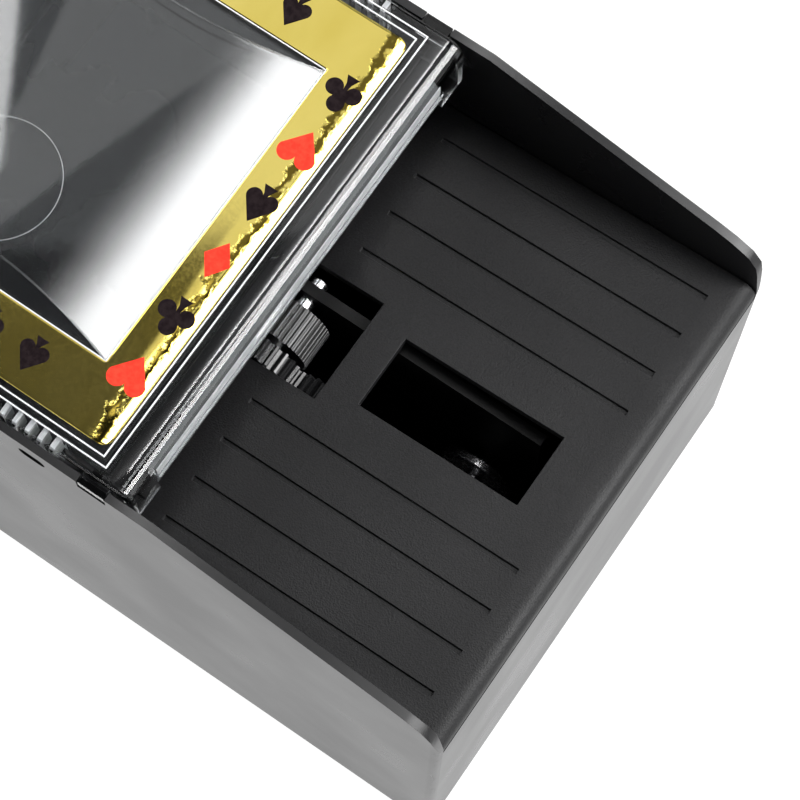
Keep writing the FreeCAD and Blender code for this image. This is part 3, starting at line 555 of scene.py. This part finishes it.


# ---------------------------------------------------------------- cover edges, drawn as white pieces of painted highlight where clear edges gather light
COVER_TOP = label_low.z / MM
EDGE_RADIUS = 0.06 * MM
RIDGE_WIDTH = 0.28
RIDGE_LOW = COVER_TOP + 0.2
RIDGE_HIGH = COVER_TOP + 0.42
SKIRT_X = (43.25, 43.65)
SKIRT_Y = 38.6
RIB_COUNT = 5
RIB_START = 19.7
RIB_PITCH = 2.4
RIB_HALF = 0.45
RIB_Y = (43.3, 45.1)
RING_SEGMENTS = 72


def glint_part(name, mesh):
    """A piece of the clear cover in white painted highlight."""
    piece = new_piece(name, mesh, PAINTED_GLINT)
    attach(piece, "cover")
    return piece


def glint_box(name, low, high):
    """A small box of white painted highlight between two corners in millimetres."""
    mesh = bmesh.new()
    bmesh.ops.create_cube(mesh, size=1.0)
    for vert in mesh.verts:
        for axis in range(3):
            middle = (low[axis] + high[axis]) / 2
            vert.co[axis] = (middle + vert.co[axis] * (high[axis] - low[axis])) * MM
    piece = glint_part(name, mesh)
    edge = piece.modifiers.new("edge_radius", "BEVEL")
    edge.width = EDGE_RADIUS


def glint_frame(name, half_x, half_y, width, low, high):
    """Four bars of white painted highlight that form a rectangle round the middle of the cover."""
    for sign, side in ((1, "a"), (-1, "b")):
        x = sorted([sign * half_x, sign * (half_x - width)])
        y = sorted([sign * half_y, sign * (half_y - width)])
        inner = half_x - width
        glint_box("%s_end_%s" % (name, side), (x[0], -half_y, low), (x[1], half_y, high))
        glint_box("%s_side_%s" % (name, side), (-inner, y[0], low), (inner, y[1], high))


def window_ring(name, x, y, z, radius, thickness):
    """The faint round gate mark under the window, drawn in white painted highlight."""
    mesh = bmesh.new()
    turns = [2 * math.pi * i / RING_SEGMENTS for i in range(RING_SEGMENTS)]
    loops = []
    for reach, lift in ((-1, 0), (0, 1), (1, 0), (0, -1)):
        around = radius + reach * thickness
        height = (z + lift * thickness) * MM
        ring = [((x + around * math.cos(a)) * MM, (y + around * math.sin(a)) * MM) for a in turns]
        loops.append([mesh.verts.new((px, py, height)) for px, py in ring])
    for k, loop in enumerate(loops):
        after = loops[(k + 1) % len(loops)]
        for i in range(RING_SEGMENTS):
            j = (i + 1) % RING_SEGMENTS
            mesh.faces.new([loop[i], loop[j], after[j], after[i]])
    bmesh.ops.recalc_face_normals(mesh, faces=mesh.faces)
    glint_part(name, mesh)


window_ring("window_ring", -4.0, -15.0, COVER_TOP - 0.1, 10.5, 0.06)
# White frames of painted highlight along the two ridges and round the window edge.
glint_frame("ridge_glint_inner", 37.0, 42.1, RIDGE_WIDTH, RIDGE_LOW, RIDGE_HIGH)
glint_frame("ridge_glint_outer", 38.3, 43.4, RIDGE_WIDTH, RIDGE_LOW, RIDGE_HIGH)
glint_frame("window_glint_line", 28.1, 29.6, 0.22, COVER_TOP - 0.1, COVER_TOP + 0.16)
for sign, side in ((1, "right"), (-1, "left")):
    x = sorted([sign * SKIRT_X[0], sign * SKIRT_X[1]])
    # White painted highlight: the bright band on the rounded end edge and skirt of the cover.
    glint_box("skirt_glint_" + side, (x[0], -SKIRT_Y, COVER_TOP - 8.2), (x[1], SKIRT_Y, COVER_TOP - 3.2))
    for edge, front in ((1, "front"), (-1, "rear")):
        y = sorted([edge * RIB_Y[0], edge * RIB_Y[1]])
        for rib in range(RIB_COUNT):
            middle = sign * (RIB_START + RIB_PITCH * rib)
            # White painted highlight over each grip rib.
            glint_box("grip_rib_%s_%s_%d" % (side, front, rib),
                     (middle - RIB_HALF, y[0], COVER_TOP - 7), (middle + RIB_HALF, y[1], COVER_TOP - 0.6))


# ---------------------------------------------------------------- stage, light and camera
LENS = 117.25
SENSOR = 36.0
AZIMUTH = 34.51
ELEVATION = 73.13
DISTANCE = 457.2
TARGET = (59.15, 4.96, 40.0)
BAND_RADIANCE = 17.0
BAND_STRIPS = 14
BAND_STEP = 0.0105
BAND_START = -0.02
BAND_FALL = 2.4
BAND_Y = 0.26
BAND_Z = 0.98
BAND_LENGTH = 0.44


def floor():
    """A large pale disc that glows evenly."""
    mesh = bmesh.new()
    bmesh.ops.create_circle(mesh, cap_ends=True, segments=96, radius=4.0)
    data = bpy.data.meshes.new("studio_floor")
    mesh.to_mesh(data)
    mesh.free()
    plane = bpy.data.objects.new("studio_floor", data)
    bpy.context.scene.collection.objects.link(plane)
    material, _, shader, _ = new_material("pale_floor")
    shader.inputs["Base Color"].default_value = (0.10, 0.10, 0.10, 1)
    shader.inputs["Roughness"].default_value = 0.8
    shader.inputs["Specular IOR Level"].default_value = 0.1
    shader.inputs["Emission Color"].default_value = (1, 1, 1, 1)
    shader.inputs["Emission Strength"].default_value = 1.0
    dress(plane, material)


def studio_world():
    """Pale near the horizon, dim overhead, so that flat tops stay dark between the softboxes."""
    world = bpy.data.worlds.new("studio")
    world.use_nodes = True
    tree = world.node_tree
    background = tree.nodes["Background"]
    coords = tree.nodes.new("ShaderNodeTexCoord")
    split = tree.nodes.new("ShaderNodeSeparateXYZ")
    ramp = tree.nodes.new("ShaderNodeValToRGB")
    ramp.color_ramp.elements[0].position = 0.15
    ramp.color_ramp.elements[0].color = (0.85, 0.86, 0.87, 1)
    ramp.color_ramp.elements[1].position = 0.6
    ramp.color_ramp.elements[1].color = (0.075, 0.075, 0.08, 1)
    tree.links.new(coords.outputs["Generated"], split.inputs["Vector"])
    tree.links.new(split.outputs["Z"], ramp.inputs["Fac"])
    tree.links.new(ramp.outputs["Color"], background.inputs["Color"])
    background.inputs["Strength"].default_value = 1.0
    bpy.context.scene.world = world


def softbox(name, at, aim, width, height, radiance):
    """A rectangular area light of a given surface brightness."""
    light = bpy.data.lights.new(name, "AREA")
    light.shape = "RECTANGLE"
    light.size = width
    light.size_y = height
    light.energy = radiance * math.pi * width * height
    lamp = bpy.data.objects.new(name, light)
    bpy.context.scene.collection.objects.link(lamp)
    lamp.location = at
    lamp.rotation_mode = "QUATERNION"
    lamp.rotation_quaternion = (Vector(aim) - Vector(at)).to_track_quat("-Z", "Y")


def camera():
    """The photo's point of view: above and behind the right end."""
    data = bpy.data.cameras.new("camera")
    data.lens = LENS
    data.sensor_width = SENSOR
    data.clip_start = 0.01
    cam = bpy.data.objects.new("camera", data)
    bpy.context.scene.collection.objects.link(cam)
    azimuth, elevation = math.radians(AZIMUTH), math.radians(ELEVATION)
    back = Vector((math.sin(azimuth) * math.cos(elevation), -math.cos(azimuth) * math.cos(elevation),
                   math.sin(elevation)))
    target = Vector(TARGET) * MM
    cam.location = target + back * DISTANCE * MM
    cam.rotation_mode = "QUATERNION"
    cam.rotation_quaternion = (-back).to_track_quat("-Z", "Y")
    bpy.context.scene.camera = cam


floor()
studio_world()
top = (0, 0, 0.096)
softbox("gold_box", (-0.385, 0.50, 0.98), top, 0.43, 0.62, 0.78)
softbox("band_box", (0.03, BAND_Y, BAND_Z), (0.03, BAND_Y, 0), 0.10, BAND_LENGTH, BAND_RADIANCE)
for step in range(BAND_STRIPS):
    x = BAND_START - BAND_STEP * (step + 0.5)
    strength = BAND_RADIANCE * (1 - (step + 0.5) / BAND_STRIPS) ** BAND_FALL
    softbox("band_strip_%02d" % step, (x, BAND_Y, BAND_Z), (x, BAND_Y, 0), BAND_STEP, BAND_LENGTH, strength)
softbox("far_band_box", (-0.66, 0.28, 0.95), top, 0.10, 0.6, 6.0)
softbox("edge_box", (0.62, 0.36, 0.95), top, 0.34, 0.5, 12.0)
softbox("lip_box", (1.25, 0.42, 0.85), top, 0.8, 0.7, 16.0)
softbox("left_fill", (-1.2, -0.9, 0.9), top, 0.9, 0.9, 1.5)
softbox("back_fill", (0.3, 1.5, 0.8), top, 1.0, 0.8, 0.9)
softbox("latch_box", (0.1, -1.3, 0.7), top, 0.9, 0.25, 2.2)
camera()
bpy.context.scene.view_settings.view_transform = "Standard"
